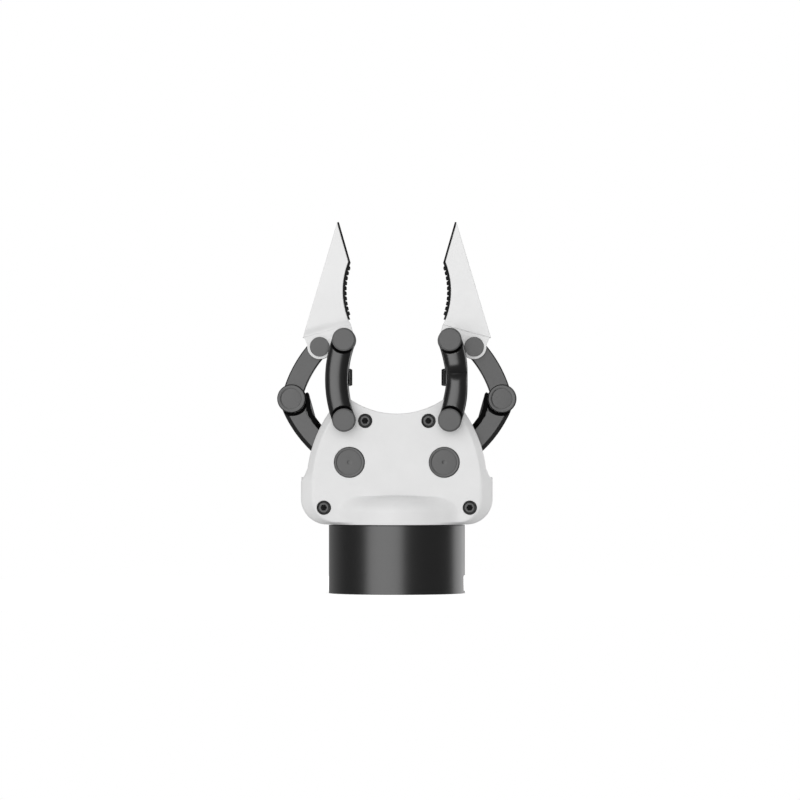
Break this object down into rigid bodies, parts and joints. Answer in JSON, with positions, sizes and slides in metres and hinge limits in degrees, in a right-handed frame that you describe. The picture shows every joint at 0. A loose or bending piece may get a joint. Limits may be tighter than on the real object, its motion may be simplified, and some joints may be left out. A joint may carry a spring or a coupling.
{
  "type": "electric two finger gripper",
  "caption": "Electric gripper for a robot arm: a worm motor in a round drum opens and closes the fingers through cranks, couplers and curved front links.",
  "frame": {"origin": "centre of the drum's bottom face, which is the mounting face on the robot's flange", "axes": "+Z from the mounting face to the fingertips, +X from finger to finger, the front looks along -Y"},
  "size_m": [0.1102, 0.063, 0.1716],
  "materials": {
    "black_drum": "black anodised, fine turned",
    "bare_aluminium": "machined",
    "black_screws": "black oxide",
    "black_socket": "moulded",
    "green_board": "solder mask",
    "copper_core": "laminated core with windings",
    "bare_steel": "ground steel",
    "white_shell": "satin moulded plastic",
    "grey_linkage": "grey anodised, flat faces",
    "bronze": "machined bronze",
    "black_linkage": "black anodised, smooth",
    "black_rubber": "matt moulded rubber"
  },
  "bodies": {
    "housing": {"drum": "black_drum", "base_plate": "bare_aluminium", "base_screws": "black_screws", "connector": "black_socket", "control_board": "green_board", "motor_plate": "bare_aluminium", "stator": "copper_core", "motor_bearings": "bare_steel", "drum_screws": "black_screws", "gear_case": "white_shell", "top_bridge": "white_shell", "worm_bearings": "bare_steel", "front_cover": "white_shell", "rear_cover": "white_shell", "cover_screws": "black_screws", "crank_bearings": "bare_steel", "shaft_caps": "grey_linkage", "link_bushes": "bronze"},
    "motor": {"rotor": "bare_steel", "worm_shaft": "bare_steel", "encoder_magnet": "bare_steel"},
    "left_crank": {"left_worm_wheel": "bronze", "left_crank_shaft": "bare_steel", "left_crank": "grey_linkage"},
    "left_link": {"left_front_link": "black_linkage", "left_link_pad": "black_rubber", "left_link_pin": "grey_linkage", "left_finger_pin": "grey_linkage"},
    "left_finger": {"left_finger_bracket": "white_shell", "left_finger_bushes": "bronze", "left_fingertip": "white_shell", "left_finger_pad": "black_rubber", "left_finger_screw": "black_screws", "left_coupler_pin": "grey_linkage"},
    "left_coupler": {"left_coupler": "grey_linkage", "left_elbow_pin": "bare_steel", "left_elbow_caps": "grey_linkage", "left_elbow_springs": "bare_steel"},
    "right_crank": {"right_worm_wheel": "bronze", "right_crank_shaft": "bare_steel", "right_crank": "grey_linkage"},
    "right_link": {"right_front_link": "black_linkage", "right_link_pad": "black_rubber", "right_link_pin": "grey_linkage", "right_finger_pin": "grey_linkage"},
    "right_finger": {"right_finger_bracket": "white_shell", "right_finger_bushes": "bronze", "right_fingertip": "white_shell", "right_finger_pad": "black_rubber", "right_finger_screw": "black_screws", "right_coupler_pin": "grey_linkage"},
    "right_coupler": {"right_coupler": "grey_linkage", "right_elbow_pin": "bare_steel", "right_elbow_caps": "grey_linkage", "right_elbow_springs": "bare_steel"}
  },
  "joints": [
    {"name": "motor_spin", "type": "hinge", "parent": "housing", "child": "motor", "pos_m": [0, 0, 0.02], "axis": [0, 0, 1], "range_deg": [-364, 672]},
    {"name": "left_crank_turn", "type": "hinge", "parent": "housing", "child": "left_crank", "pos_m": [-0.02185, 0, 0.0607], "axis": [0, -1, 0], "range_deg": [-13.01, 24.01]},
    {"name": "left_link_swing", "type": "hinge", "parent": "housing", "child": "left_link", "pos_m": [-0.0243, 0, 0.0802], "axis": [0, -1, 0], "range_deg": [-18.5, 34.15]},
    {"name": "left_finger_pivot", "type": "hinge", "parent": "left_link", "child": "left_finger", "pos_m": [-0.0244, 0, 0.1172], "axis": [0, -1, 0], "range_deg": [-5.33, 2.89]},
    {"name": "left_coupler_pivot", "type": "hinge", "parent": "left_finger", "child": "left_coupler", "pos_m": [-0.03565, 0, 0.114], "axis": [0, -1, 0], "range_deg": [-9.05, 4.9]},
    {"name": "right_crank_turn", "type": "hinge", "parent": "housing", "child": "right_crank", "pos_m": [0.02185, 0, 0.0607], "axis": [0, 1, 0], "range_deg": [-13.01, 24.01]},
    {"name": "right_link_swing", "type": "hinge", "parent": "housing", "child": "right_link", "pos_m": [0.0243, 0, 0.0802], "axis": [0, 1, 0], "range_deg": [-18.5, 34.15]},
    {"name": "right_finger_pivot", "type": "hinge", "parent": "right_link", "child": "right_finger", "pos_m": [0.0244, 0, 0.1172], "axis": [0, 1, 0], "range_deg": [-5.33, 2.89]},
    {"name": "right_coupler_pivot", "type": "hinge", "parent": "right_finger", "child": "right_coupler", "pos_m": [0.03565, 0, 0.114], "axis": [0, 1, 0], "range_deg": [-9.05, 4.9]}
  ],
  "couplings": [
    {"joint": "left_crank_turn", "follows": "motor_spin", "ratio": 0.035714},
    {"joint": "left_link_swing", "follows": "motor_spin", "ratio": 0.050786},
    {"joint": "left_finger_pivot", "follows": "motor_spin", "ratio": -0.0079286},
    {"joint": "left_coupler_pivot", "follows": "motor_spin", "ratio": -0.013457},
    {"joint": "right_crank_turn", "follows": "motor_spin", "ratio": 0.035714},
    {"joint": "right_link_swing", "follows": "motor_spin", "ratio": 0.050786},
    {"joint": "right_finger_pivot", "follows": "motor_spin", "ratio": -0.0079286},
    {"joint": "right_coupler_pivot", "follows": "motor_spin", "ratio": -0.013457}
  ]
}
